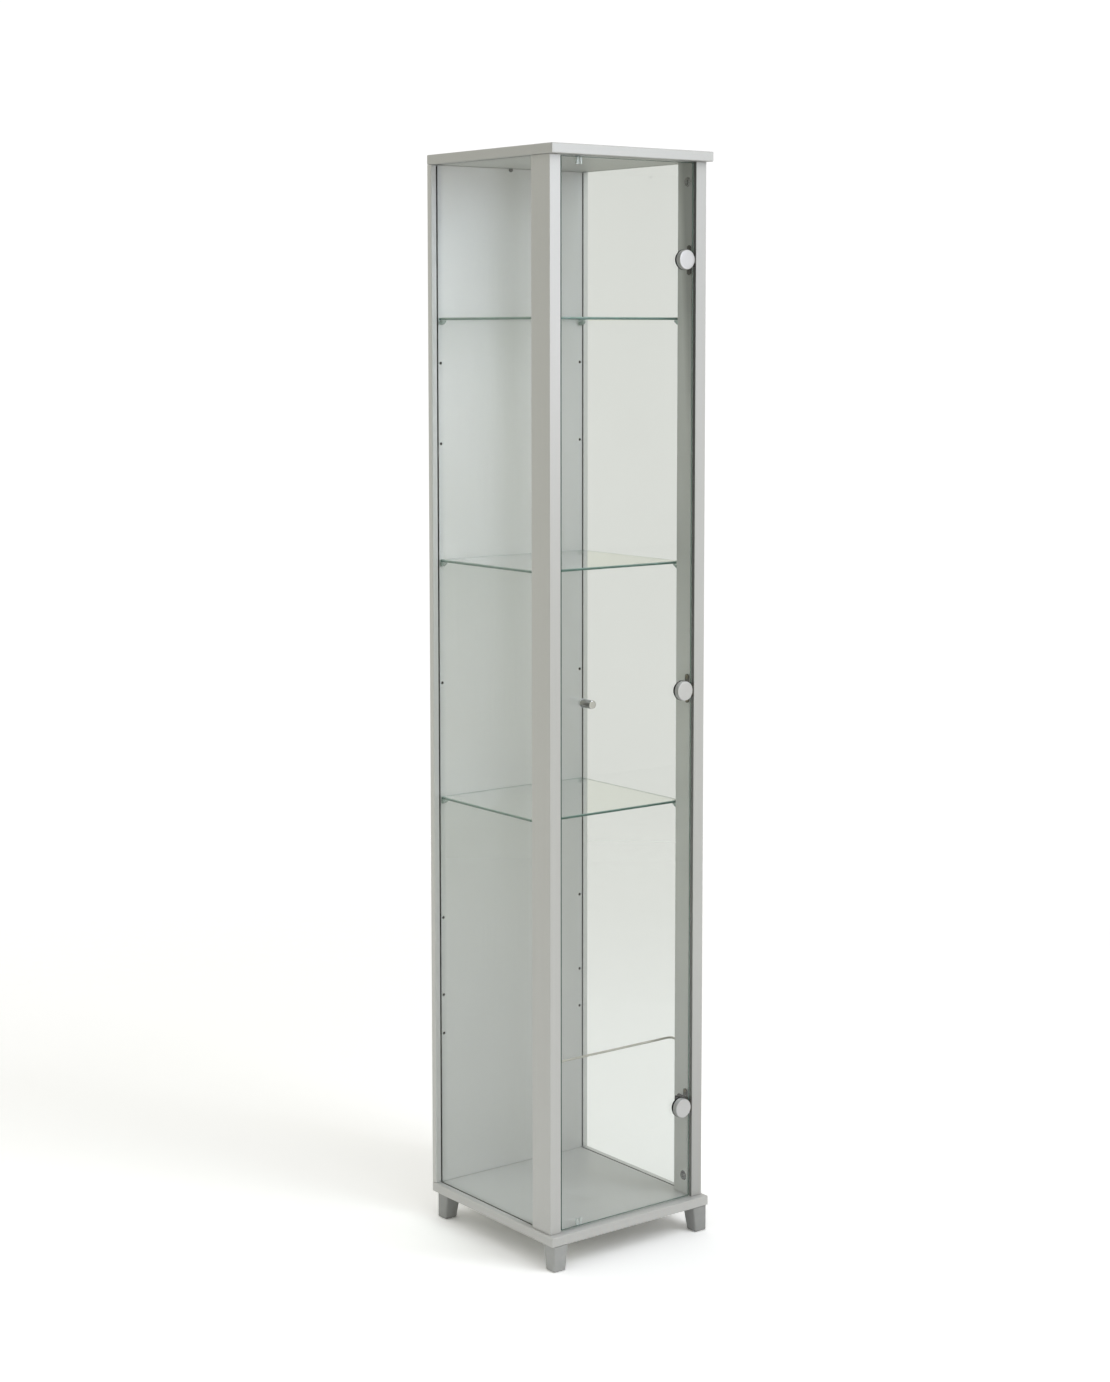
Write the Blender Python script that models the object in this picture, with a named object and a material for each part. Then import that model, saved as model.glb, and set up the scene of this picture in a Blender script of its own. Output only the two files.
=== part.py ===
"""Tall, narrow display showcase with one glass door.

A foil-wrapped base board, top board and back panel, two solid front posts, two glass
side panes held in grooves, three glass shelves on pins, and a frameless glass door on
three inset glass-door hinges.  Everything is in metres, +Z up, +X to the right along the
front, +Y towards the back.  The origin is under the middle of the whole object's box, on
the surface the feet stand on.
"""
import math

import bmesh
import bpy
from mathutils import Matrix, Vector

for stale in list(bpy.data.objects):
    bpy.data.objects.remove(stale, do_unlink=True)

# ------------------------------------------------------------------ driving dimensions
GAP = 0.0003                 # air left between two pieces that rest on each other

BOARD_T = 0.0153             # top and base board thickness
BOARD_HALF_W = 0.1575        # half width of the top and base boards
BOARD_OVERHANG = 0.0117      # how far the boards stand in front of the posts
BODY_REAR = 0.3130           # post front face to the rear of back panel and boards
FOOT_H = 0.0400              # floor to the underside of the base board
CLEAR_H = 1.6474             # clear height between the two boards

POST_OUTER = 0.1529          # half width over the posts
POST_W = 0.0205              # post width across the front
POST_D = 0.0460              # post depth
BACK_T = 0.0110              # back panel thickness
BACK_HALF_W = 0.1571         # back panel half width

PANE_T = 0.0040              # side pane thickness
PANE_X = 0.1453              # side pane centre plane
GROOVE_W = PANE_T + 2 * GAP  # groove width for a side pane
GROOVE_POST = 0.0080         # groove depth in a post
GROOVE_BACK = 0.0060         # groove depth in the back panel
GROOVE_BOARD = 0.0060        # groove depth in the boards

SHELF_T = 0.0040             # glass shelf thickness
SHELF_HALF_W = 0.1421
SHELF_EDGE_GAP = 0.0015      # shelf edge to post and to back panel

PITCH = 0.0320               # the 32 mm hole system
ROW_MID = 0.8242             # middle row of holes above the base board
PIN_HOLE_R = 0.0025
PIN_HOLE_X = 0.1382          # hole columns, from the centre line
PIN_HOLE_STEPS = (-18, -16, -12, -6, 0, 6, 12, 16, 18)   # in pitches from the middle row
SHELF_STEPS = {"top": 18, "middle": 6, "bottom": -6}     # the holes that carry shelves
TIE_STEP = -18               # the holes that carry the tie rod

DOOR_T = 0.0050              # door glass thickness
DOOR_RECESS = 0.0030         # door front face behind the post front face
DOOR_LEFT = -0.1290          # free edge
DOOR_RIGHT = 0.1296          # hinged edge
DOOR_CLEAR_Z = 0.0020        # door edge to board
DOOR_HOLE_R = 0.0115         # hinge holes in the glass

HINGE_X = 0.1088             # hinge cap centre
HINGE_STEP = 21              # hinge spacing, in pitches
HINGE_CAP_R = 0.0152
HINGE_CAP_T = 0.0085
FLANGE_FRONT_R = 0.0158      # grommet flange between cap and glass
FLANGE_REAR_R = 0.0130       # grommet flange behind the glass
CLAMP_R = 0.0094             # clamp disc behind the glass
PIVOT_X = 0.1296             # hinge line
PIVOT_Y = 0.0002             # hinge line behind the post front face
KNUCKLE_R = 0.0019
KNUCKLE_BORE_R = 0.0011
HINGE_PIN_R = 0.0008
KNUCKLE_HALF = 0.0105        # half length of the whole knuckle
KNUCKLE_SPLIT = 0.0050       # half length of the middle knuckle
PLATE_SCREW_Z = 0.0185       # plate screws above and below the hinge centre
PLATE_SCREW_Y = 0.0176       # plate screws behind the post front face
PLATE_EAR_R = 0.0046         # rounded ear around each plate screw

KNOB_R = 0.0065
KNOB_L = 0.0237
KNOB_X = -0.0885
KNOB_Z = 0.8775

STOP_X = -0.0918             # door stop centre
STOP_H = 0.0125              # door stop height
CAM_R = 0.0075               # cam lock radius
CAM_Z = 0.0300               # cam lock distance from the board
TIE_R = 0.0019               # tie rod radius
TIE_REACH = 0.0168           # tie rod axis behind the posts

FOOT_TOP = 0.0276            # foot side at the top
FOOT_BOTTOM = 0.0226         # foot side at the floor
FOOT_IN_X = 0.0032           # foot outer face from the board side
FOOT_IN_FRONT = 0.0          # feet stand flush with the board front
FOOT_IN_REAR = 0.0104        # foot outer face from the board rear
FOOT_ROUND = 0.0030          # rounding of the foot's upright corners

KNOB_FRONT = DOOR_RECESS - GAP - 0.0010 - GAP - KNOB_L    # foremost point of the object
FRONT = -(BODY_REAR + KNOB_FRONT) / 2.0                   # post front face in the world

# ------------------------------------------------------------------ derived levels
Z_BASE0 = FOOT_H
Z_BASE1 = FOOT_H + BOARD_T
Z_TOP0 = Z_BASE1 + CLEAR_H
Z_TOP1 = Z_TOP0 + BOARD_T
Z_MID = (Z_BASE1 + Z_TOP0) / 2.0
Z_ROW = Z_BASE1 + ROW_MID
POST_INNER = POST_OUTER - POST_W
BACK_FRONT = BODY_REAR - BACK_T
HINGE_Z = {"bottom": Z_ROW - HINGE_STEP * PITCH, "middle": Z_ROW, "top": Z_ROW + HINGE_STEP * PITCH}


def hole_z(step):
    return Z_ROW + step * PITCH


# ------------------------------------------------------------------ materials
def material(name, colour, roughness, metallic=0.0, transmission=0.0, ior=1.5):
    mat = bpy.data.materials.new(name)
    mat.use_nodes = True
    shader = mat.node_tree.nodes["Principled BSDF"]
    shader.inputs["Base Color"].default_value = (*colour, 1.0)
    shader.inputs["Roughness"].default_value = roughness
    shader.inputs["Metallic"].default_value = metallic
    shader.inputs["Transmission Weight"].default_value = transmission
    shader.inputs["IOR"].default_value = ior
    mat.diffuse_color = (*colour, 1.0)
    return mat


FOIL = material("silver_foil_board", (0.66, 0.66, 0.64), 0.42, 0.15)
GLASS = material("clear_glass", (0.86, 0.93, 0.90), 0.02, 0.0, 1.0, 1.52)
NICKEL = material("satin_nickel", (0.72, 0.70, 0.66), 0.28, 1.0)
CHROME = material("polished_chrome", (0.80, 0.80, 0.80), 0.12, 1.0)
CAP_METAL = material("silver_cap", (0.78, 0.78, 0.80), 0.32, 0.85)
BLACK = material("black_plastic", (0.02, 0.02, 0.02), 0.45)
GREY = material("grey_plastic", (0.25, 0.26, 0.26), 0.40)
CLEAR = material("clear_plastic", (0.88, 0.91, 0.90), 0.18, 0.0, 0.6, 1.49)
STEEL = material("zinc_steel", (0.62, 0.62, 0.60), 0.30, 1.0)


# ------------------------------------------------------------------ mesh helpers
def y_at(y):
    """World Y of a depth measured from the posts' front face."""
    return FRONT + y


def new_object(name, bm, mat, location=(0, 0, 0), parent=None, smooth_angle=None):
    bmesh.ops.recalc_face_normals(bm, faces=bm.faces[:])
    mesh = bpy.data.meshes.new(name)
    bm.to_mesh(mesh)
    bm.free()
    mesh.materials.append(mat)
    if smooth_angle is not None:
        mesh.shade_smooth()
        mesh.set_sharp_from_angle(angle=math.radians(smooth_angle))
    return place(name, mesh, location, parent)


def place(name, data, location, parent=None):
    obj = bpy.data.objects.new(name, data)
    bpy.context.scene.collection.objects.link(obj)
    if parent is None:
        obj.location = location
    else:
        obj.parent = parent
        obj.location = Vector(location) - parent.location
    return obj


def add_box(bm, size, centre=(0, 0, 0)):
    made = bmesh.ops.create_cube(bm, size=1.0)
    bmesh.ops.scale(bm, vec=size, verts=made["verts"])
    bmesh.ops.translate(bm, vec=centre, verts=made["verts"])
    return made["verts"]


def add_cylinder(bm, radius, depth, centre=(0, 0, 0), axis="Z", segments=16):
    """Capped cylinder of the given depth centred on a point, along one axis."""
    turn = {"Z": Matrix.Identity(4),
            "X": Matrix.Rotation(math.radians(90), 4, "Y"),
            "Y": Matrix.Rotation(math.radians(90), 4, "X")}[axis]
    made = bmesh.ops.create_cone(bm, cap_ends=True, segments=segments, radius1=radius,
                                 radius2=radius, depth=depth, matrix=turn)
    bmesh.ops.translate(bm, vec=centre, verts=made["verts"])
    return made["verts"]


def add_lathe(bm, profile, axis="Y", segments=24, closed_ring=False):
    """Turned body: profile is (radius, distance along the axis), in order."""
    rings = []
    for radius, along in profile:
        ring = []
        if radius < 1e-7:
            ring = [bm.verts.new(spin_point(0.0, 0.0, along, axis))]
        else:
            for k in range(segments):
                ring.append(bm.verts.new(spin_point(radius, 2 * math.pi * k / segments, along, axis)))
        rings.append(ring)
    pairs = list(zip(rings[:-1], rings[1:]))
    if closed_ring:
        pairs.append((rings[-1], rings[0]))
    for low, high in pairs:
        for k in range(segments):
            n = (k + 1) % segments
            if len(low) == 1 and len(high) == 1:
                continue
            if len(low) == 1:
                bm.faces.new((low[0], high[k], high[n]))
            elif len(high) == 1:
                bm.faces.new((low[k], low[n], high[0]))
            else:
                bm.faces.new((low[k], low[n], high[n], high[k]))
    if not closed_ring:
        for ring in (rings[0], rings[-1]):
            if len(ring) > 1:
                bm.faces.new(ring)


def spin_point(radius, angle, along, axis):
    a, b = radius * math.cos(angle), radius * math.sin(angle)
    return {"X": (along, a, b), "Y": (a, along, b), "Z": (a, b, along)}[axis]


def add_prism(bm, outline, axis, low, high):
    """Flat outline pushed along an axis; outline points are the other two coordinates."""
    def point(u, v, w):
        return {"X": (w, u, v), "Y": (u, w, v), "Z": (u, v, w)}[axis]
    bottom = [bm.verts.new(point(u, v, low)) for u, v in outline]
    face = bm.faces.new(bottom)
    made = bmesh.ops.extrude_face_region(bm, geom=[face])
    moved = [g for g in made["geom"] if isinstance(g, bmesh.types.BMVert)]
    bmesh.ops.translate(bm, vec=Vector(point(0, 0, high - low)), verts=moved)


def bevelled(obj, width, segments=2):
    mod = obj.modifiers.new("edge_round", "BEVEL")
    mod.width = width
    mod.segments = segments
    mod.limit_method = "ANGLE"
    mod.angle_limit = math.radians(40)
    return obj


def cutter(name, bm, location=(0, 0, 0), parent=None):
    obj = new_object(name, bm, GREY, location, parent)
    obj.hide_render = True
    obj.display_type = "WIRE"
    return obj


def boolean(obj, other, operation="DIFFERENCE"):
    mod = obj.modifiers.new(operation.lower(), "BOOLEAN")
    mod.operation = operation
    mod.solver = "EXACT"
    mod.object = other
    return obj


# ------------------------------------------------------------------ boards and back panel
board_depth = BODY_REAR + BOARD_OVERHANG
board_centre_y = y_at((BODY_REAR - BOARD_OVERHANG) / 2.0)
pane_front = POST_D - GROOVE_POST + 0.0005      # front edge of a side pane, from the post front
pane_rear = BACK_FRONT + GROOVE_BACK - 0.0005
groove_len = pane_rear - pane_front + 0.0010
groove_mid = (pane_front + pane_rear) / 2.0

for name, z_mid, groove_z in (("base_board", (Z_BASE0 + Z_BASE1) / 2.0, Z_BASE1),
                              ("top_board", (Z_TOP0 + Z_TOP1) / 2.0, Z_TOP0)):
    bm = bmesh.new()
    add_box(bm, (2 * BOARD_HALF_W, board_depth, BOARD_T))
    board = bevelled(new_object(name, bm, FOIL, (0, board_centre_y, z_mid)), 0.0012)
    bm = bmesh.new()
    for side in (-1, 1):
        add_box(bm, (GROOVE_W, groove_len, 2 * GROOVE_BOARD),
                (side * PANE_X, y_at(groove_mid), groove_z))
    boolean(board, cutter(name + "_grooves", bm))

bm = bmesh.new()
add_box(bm, (2 * BACK_HALF_W, BACK_T, CLEAR_H - 2 * GAP))
back_panel = bevelled(new_object("back_panel", bm, FOIL,
                                 (0, y_at(BACK_FRONT + BACK_T / 2.0), Z_MID)), 0.0008)
bm = bmesh.new()
for side in (-1, 1):
    add_box(bm, (GROOVE_W, 2 * GROOVE_BACK, CLEAR_H + 0.02), (side * PANE_X, y_at(BACK_FRONT), Z_MID))
    for step in PIN_HOLE_STEPS:
        add_cylinder(bm, PIN_HOLE_R, 0.0200, (side * PIN_HOLE_X, y_at(BACK_FRONT), hole_z(step)), "Y", 12)
add_cylinder(bm, 0.0020, 0.0180, (0, y_at(BACK_FRONT), Z_TOP0 - 0.0024), "Y", 12)
boolean(back_panel, cutter("back_panel_holes", bm))

# small plastic connector in the corner between back panel and top board
bm = bmesh.new()
add_lathe(bm, [(0.0, -0.0032), (0.0024, -0.0032), (0.0034, -0.0024), (0.0034, -GAP),
               (0.0017, -GAP), (0.0017, 0.0080), (0.0, 0.0080)], "Y", 20)
connector = new_object("back_panel_connector", bm, BLACK,
                       (0, y_at(BACK_FRONT), Z_TOP0 - 0.0024), smooth_angle=40)
bm = bmesh.new()
add_box(bm, (0.02, 0.02, 0.01), (0, y_at(BACK_FRONT - 0.005), Z_TOP0 - GAP + 0.005))
boolean(connector, cutter("connector_flat", bm))

# ------------------------------------------------------------------ front posts
posts = {}
for name, side in (("left_post", -1), ("right_post", 1)):
    bm = bmesh.new()
    add_box(bm, (POST_W, POST_D, CLEAR_H - 2 * GAP))
    post = bevelled(new_object(name, bm, FOIL, (side * (POST_OUTER - POST_W / 2.0),
                                                y_at(POST_D / 2.0), Z_MID)), 0.0006)
    bm = bmesh.new()
    add_box(bm, (GROOVE_W, 2 * GROOVE_POST, CLEAR_H + 0.02), (side * PANE_X, y_at(POST_D), Z_MID))
    for step in PIN_HOLE_STEPS:
        add_cylinder(bm, PIN_HOLE_R, 0.0200, (side * PIN_HOLE_X, y_at(POST_D), hole_z(step)), "Y", 12)
    for z in (Z_BASE1 + CAM_Z, Z_TOP0 - CAM_Z):
        add_cylinder(bm, CAM_R + GAP, 0.0220, (side * POST_INNER, y_at(POST_D / 2.0), z), "X", 20)
    if side > 0:
        for z in HINGE_Z.values():
            for up in (-1, 1):
                add_cylinder(bm, 0.0020, 0.0240, (POST_INNER, y_at(PLATE_SCREW_Y), z + up * PLATE_SCREW_Z), "X", 12)
    posts[name] = boolean(post, cutter(name + "_cuts", bm))

# cam locks that draw the posts onto the boards
for side_name, side in (("left", -1), ("right", 1)):
    for level, z in (("top", Z_TOP0 - CAM_Z), ("bottom", Z_BASE1 + CAM_Z)):
        bm = bmesh.new()
        add_lathe(bm, [(0.0, 0.0), (CAM_R - 0.0006, 0.0), (CAM_R, -0.0006), (CAM_R, -0.0100),
                       (0.0, -0.0100)], "X", 16)
        bmesh.ops.scale(bm, vec=(-side, 1, 1), verts=bm.verts[:])
        lock = new_object("cam_lock_%s_%s" % (side_name, level), bm, STEEL,
                          (side * (POST_INNER - 0.0002), y_at(POST_D / 2.0), z), smooth_angle=40)
        bm = bmesh.new()     # driver slot across the face
        add_box(bm, (0.0030, 0.0018, 0.0090), (side * (POST_INNER - 0.0002), y_at(POST_D / 2.0), z))
        boolean(lock, cutter("cam_slot_%s_%s" % (side_name, level), bm))

# ------------------------------------------------------------------ side panes
for name, side in (("left_pane", -1), ("right_pane", 1)):
    bm = bmesh.new()
    add_box(bm, (PANE_T, pane_rear - pane_front, CLEAR_H + 2 * GROOVE_BOARD - 0.0010))
    bevelled(new_object(name, bm, GLASS, (side * PANE_X, y_at(groove_mid), Z_MID)), 0.0004, 1)

# ------------------------------------------------------------------ shelves and their pins
shelf_y0 = POST_D + SHELF_EDGE_GAP
shelf_y1 = BACK_FRONT - SHELF_EDGE_GAP
REST_TOP = 0.0034            # bearing face of a pin above its hole centre


def shelf_pin_mesh():
    """Pin for a 5 mm hole: stem at +Y, collar, and a flat tongue at -Y."""
    bm = bmesh.new()
    add_lathe(bm, [(0.0, 0.0082), (0.0018, 0.0082), (0.0022, 0.0074), (0.0022, -GAP),
                   (0.0033, -GAP), (0.0033, -0.0013), (0.0, -0.0013)], "Y", 12)
    bmesh.ops.recalc_face_normals(bm, faces=bm.faces[:])
    mesh = bpy.data.meshes.new("shelf_pin")
    bm.to_mesh(mesh)
    bm.free()
    mesh.materials.append(CLEAR)
    return mesh


def tongue_mesh():
    bm = bmesh.new()
    add_prism(bm, [(-0.0110, 0.0012), (-0.0102, 0.0004), (-0.0040, -0.0036), (-0.0008, -0.0036),
                   (-0.0008, REST_TOP), (-0.0110, REST_TOP)], "X", -0.0032, 0.0032)
    bmesh.ops.recalc_face_normals(bm, faces=bm.faces[:])
    mesh = bpy.data.meshes.new("shelf_tongue")
    bm.to_mesh(mesh)
    bm.free()
    mesh.materials.append(CLEAR)
    return mesh


pin_mesh = shelf_pin_mesh()
tongue = tongue_mesh()
for level, step in SHELF_STEPS.items():
    z = hole_z(step)
    for side_name, side in (("left", -1), ("right", 1)):
        for place_name, y, turn in (("rear", BACK_FRONT, 0.0), ("front", POST_D, math.pi)):
            name = "shelf_pin_%s_%s_%s" % (level, place_name, side_name)
            pin = place(name, pin_mesh, (side * PIN_HOLE_X, y_at(y), z))
            pin.rotation_euler = (0, 0, turn)
            part = place(name + "_tongue", tongue, (side * PIN_HOLE_X, y_at(y), z))
            part.rotation_euler = (0, 0, turn)
            part.hide_render = True
            part.display_type = "WIRE"
            boolean(pin, part, "UNION")
    bm = bmesh.new()
    add_box(bm, (2 * SHELF_HALF_W, shelf_y1 - shelf_y0, SHELF_T))
    bevelled(new_object("shelf_%s" % level, bm, GLASS,
                        (0, y_at((shelf_y0 + shelf_y1) / 2.0), z + REST_TOP + GAP + SHELF_T / 2.0)),
             0.0004, 1)

# ------------------------------------------------------------------ tie rod between the posts
rod_z = hole_z(TIE_STEP)
bend = 0.0055
path = [(-PIN_HOLE_X, POST_D - 0.0070)]
for k in range(7):
    a = math.pi / 2 * k / 6
    path.append((-PIN_HOLE_X + bend - bend * math.cos(a), POST_D + TIE_REACH - bend + bend * math.sin(a)))
for k in range(7):
    a = math.pi / 2 * (6 - k) / 6
    path.append((PIN_HOLE_X - bend + bend * math.cos(a), POST_D + TIE_REACH - bend + bend * math.sin(a)))
path.append((PIN_HOLE_X, POST_D - 0.0070))
curve = bpy.data.curves.new("tie_rod", "CURVE")
curve.dimensions = "3D"
curve.bevel_depth = TIE_R
curve.bevel_resolution = 2
curve.use_fill_caps = True
spline = curve.splines.new("POLY")
spline.points.add(len(path) - 1)
for point, (x, y) in zip(spline.points, path):
    point.co = (x, y - POST_D, 0.0, 1.0)
curve.materials.append(NICKEL)
place("tie_rod", curve, (0, y_at(POST_D), rod_z))

# ------------------------------------------------------------------ feet
def foot_mesh(sx, sy):
    """Tapered square foot; the two outer faces (towards sx, sy) stay upright."""
    bm = bmesh.new()
    height = FOOT_H - GAP
    low, high = [], []
    for cx, cy in ((0, 0), (1, 0), (1, 1), (0, 1)):
        low.append(bm.verts.new((-sx * cx * FOOT_BOTTOM, -sy * cy * FOOT_BOTTOM, 0.0)))
        high.append(bm.verts.new((-sx * cx * FOOT_TOP, -sy * cy * FOOT_TOP, height)))
    bm.faces.new(low)
    bm.faces.new(high)
    sides = []
    for k in range(4):
        n = (k + 1) % 4
        sides.append(bm.faces.new((low[k], low[n], high[n], high[k])))
    bmesh.ops.recalc_face_normals(bm, faces=bm.faces[:])
    uprights = [e for e in bm.edges if abs(e.verts[0].co.z - e.verts[1].co.z) > 0.01]
    bmesh.ops.bevel(bm, geom=uprights, offset=FOOT_ROUND, segments=4, profile=0.5, affect="EDGES")
    rim = [e for e in bm.edges if e.verts[0].co.z < 1e-5 and e.verts[1].co.z < 1e-5]
    bmesh.ops.bevel(bm, geom=rim, offset=0.0012, segments=2, profile=0.5, affect="EDGES")
    return bm


for depth_name, sy, y in (("front", -1, -BOARD_OVERHANG + FOOT_IN_FRONT), ("rear", 1, BODY_REAR - FOOT_IN_REAR)):
    for side_name, sx in (("left", -1), ("right", 1)):
        new_object("foot_%s_%s" % (depth_name, side_name), foot_mesh(sx, sy), GREY,
                   (sx * (BOARD_HALF_W - FOOT_IN_X), y_at(y), 0.0), smooth_angle=35)

# ------------------------------------------------------------------ door on its hinge line
def plate_ear(up, steps):
    """Half circle around the upper or lower screw of a hinge plate, as (depth, height)."""
    return [(PLATE_SCREW_Y + PLATE_EAR_R * math.cos(math.pi * k / 8),
             up * (PLATE_SCREW_Z + PLATE_EAR_R * math.sin(math.pi * k / 8))) for k in steps]


door_axis = bpy.data.objects.new("door_axis", None)
bpy.context.scene.collection.objects.link(door_axis)
door_axis.location = (PIVOT_X, y_at(PIVOT_Y), Z_MID)
bpy.context.view_layer.update()

door_front = y_at(DOOR_RECESS)
bm = bmesh.new()
add_box(bm, (DOOR_RIGHT - DOOR_LEFT, DOOR_T, CLEAR_H - 2 * DOOR_CLEAR_Z),
        ((DOOR_RIGHT + DOOR_LEFT) / 2.0 - PIVOT_X, DOOR_RECESS + DOOR_T / 2.0 - PIVOT_Y, 0.0))
door = bevelled(new_object("door_glass", bm, GLASS, (PIVOT_X, y_at(PIVOT_Y), Z_MID), door_axis), 0.0005, 1)
bm = bmesh.new()
for z in HINGE_Z.values():
    add_cylinder(bm, DOOR_HOLE_R, 0.0300, (HINGE_X, door_front, z), "Y", 28)
add_cylinder(bm, 0.0030, 0.0300, (KNOB_X, door_front, KNOB_Z), "Y", 16)
boolean(door, cutter("door_holes", bm))

for level, z in HINGE_Z.items():
    hinge_at = (HINGE_X, door_front, z)
    # cap: turned disc with a stud through the glass, a short arm and the middle knuckle
    bm = bmesh.new()
    back_of_cap = -0.0015 - GAP
    front_of_cap = back_of_cap - HINGE_CAP_T
    add_lathe(bm, [(0.0, front_of_cap), (HINGE_CAP_R - 0.0010, front_of_cap),
                   (HINGE_CAP_R - 0.0003, front_of_cap + 0.0003), (HINGE_CAP_R, front_of_cap + 0.0010),
                   (HINGE_CAP_R, back_of_cap), (0.0050, back_of_cap), (0.0050, 0.0082), (0.0, 0.0082)],
              "Y", 40)
    cap = new_object("hinge_%s_cap" % level, bm, CAP_METAL, hinge_at, door_axis, smooth_angle=35)
    arm_x = PIVOT_X - HINGE_X
    arm_y = PIVOT_Y - DOOR_RECESS
    bm = bmesh.new()
    add_box(bm, (arm_x - 0.0110, 0.0022, 2 * KNUCKLE_SPLIT - 0.0006),
            ((arm_x + 0.0110) / 2.0, back_of_cap - 0.0012, 0.0))
    boolean(cap, cutter("cap_arm_%s" % level, bm, hinge_at), "UNION")
    bm = bmesh.new()
    add_cylinder(bm, KNUCKLE_R, 2 * KNUCKLE_SPLIT - 0.0006, (arm_x, arm_y, 0.0), "Z", 16)
    boolean(cap, cutter("cap_knuckle_%s" % level, bm, hinge_at), "UNION")
    bm = bmesh.new()
    add_cylinder(bm, KNUCKLE_BORE_R, 0.0300, (arm_x, arm_y, 0.0), "Z", 12)
    boolean(cap, cutter("cap_bore_%s" % level, bm, hinge_at))

    # rubber grommet with a flange on each face of the glass
    bm = bmesh.new()
    add_lathe(bm, [(0.0053, -0.0015), (FLANGE_FRONT_R, -0.0015), (FLANGE_FRONT_R, -GAP), (DOOR_HOLE_R - GAP, -GAP),
                   (DOOR_HOLE_R - GAP, DOOR_T + GAP), (FLANGE_REAR_R, DOOR_T + GAP), (FLANGE_REAR_R, DOOR_T + 0.0015),
                   (0.0053, DOOR_T + 0.0015)], "Y", 30, closed_ring=True)
    new_object("hinge_%s_grommet" % level, bm, BLACK, hinge_at, door_axis, smooth_angle=35)

    # clamp behind the glass: disc and a raised block
    bm = bmesh.new()
    y0 = DOOR_T + 0.0015 + GAP
    add_lathe(bm, [(0.0, y0 + 0.0030), (CLAMP_R - 0.0005, y0 + 0.0030), (CLAMP_R, y0 + 0.0025), (CLAMP_R, y0),
                   (0.0053, y0), (0.0053, y0 + 0.0018), (0.0, y0 + 0.0018)], "Y", 24)
    clamp = new_object("hinge_%s_clamp" % level, bm, NICKEL, hinge_at, door_axis, smooth_angle=35)
    bm = bmesh.new()
    add_box(bm, (0.0136, 0.0060, 0.0096), (0.0, y0 + 0.0022, 0.0))
    bmesh.ops.bevel(bm, geom=bm.edges[:], offset=0.0008, segments=1, affect="EDGES")
    block = cutter("clamp_block_%s" % level, bm, (HINGE_X, door_front + 0.0, z))
    bm = bmesh.new()
    add_box(bm, (0.0400, 0.0200, 0.0400), (0.0, y0 + 0.0022 - 0.0100, 0.0))
    boolean(block, cutter("clamp_block_trim_%s" % level, bm, hinge_at))
    boolean(clamp, block, "UNION")

    # plate on the post: a winged leaf with the outer knuckles and a raised block
    leaf_x0, leaf_x1 = POST_INNER - GAP - 0.0014, POST_INNER - GAP
    notch = PIVOT_Y + KNUCKLE_R + GAP
    outline = [(PIVOT_Y, KNUCKLE_SPLIT), (notch, KNUCKLE_SPLIT), (notch, -KNUCKLE_SPLIT),
               (PIVOT_Y, -KNUCKLE_SPLIT), (PIVOT_Y, -KNUCKLE_HALF), (PLATE_SCREW_Y - PLATE_EAR_R, -KNUCKLE_HALF)]
    outline += plate_ear(-1, reversed(range(9)))
    outline += [(PLATE_SCREW_Y + PLATE_EAR_R, -KNUCKLE_HALF), (0.0350, -KNUCKLE_HALF),
                (0.0370, -KNUCKLE_HALF + 0.0020), (0.0370, KNUCKLE_HALF - 0.0020), (0.0350, KNUCKLE_HALF),
                (PLATE_SCREW_Y + PLATE_EAR_R, KNUCKLE_HALF)]
    outline += plate_ear(1, range(9))
    outline += [(PLATE_SCREW_Y - PLATE_EAR_R, KNUCKLE_HALF), (PIVOT_Y, KNUCKLE_HALF)]
    bm = bmesh.new()
    add_prism(bm, outline, "X", leaf_x0 - PIVOT_X, leaf_x1 - PIVOT_X)
    plate = new_object("hinge_%s_plate" % level, bm, NICKEL, (PIVOT_X, y_at(0.0), z))
    for up in (-1, 1):
        bm = bmesh.new()
        add_cylinder(bm, KNUCKLE_R, KNUCKLE_HALF - KNUCKLE_SPLIT,
                     (PIVOT_X, y_at(PIVOT_Y), z + up * (KNUCKLE_HALF + KNUCKLE_SPLIT) / 2.0), "Z", 16)
        boolean(plate, cutter("plate_knuckle_%s_%d" % (level, up), bm), "UNION")
    bm = bmesh.new()
    add_box(bm, (0.0062, 0.0160, 0.0160), (leaf_x0 - 0.0025, y_at(0.0280), z))
    boolean(plate, cutter("plate_block_%s" % level, bm), "UNION")
    bm = bmesh.new()
    add_cylinder(bm, KNUCKLE_BORE_R, 0.0500, (PIVOT_X, y_at(PIVOT_Y), z), "Z", 12)
    for up in (-1, 1):
        add_cylinder(bm, 0.0020, 0.0060, (leaf_x0, y_at(PLATE_SCREW_Y), z + up * PLATE_SCREW_Z), "X", 12)
    boolean(plate, cutter("plate_bores_%s" % level, bm))

    # hinge pin through all three knuckles
    bm = bmesh.new()
    add_lathe(bm, [(0.0, -KNUCKLE_HALF), (HINGE_PIN_R - 0.0002, -KNUCKLE_HALF),
                   (HINGE_PIN_R, -KNUCKLE_HALF + 0.0002), (HINGE_PIN_R, KNUCKLE_HALF - 0.0002),
                   (HINGE_PIN_R - 0.0002, KNUCKLE_HALF), (0.0, KNUCKLE_HALF)], "Z", 12)
    new_object("hinge_%s_pin" % level, bm, STEEL, (PIVOT_X, y_at(PIVOT_Y), z), smooth_angle=35)

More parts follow.
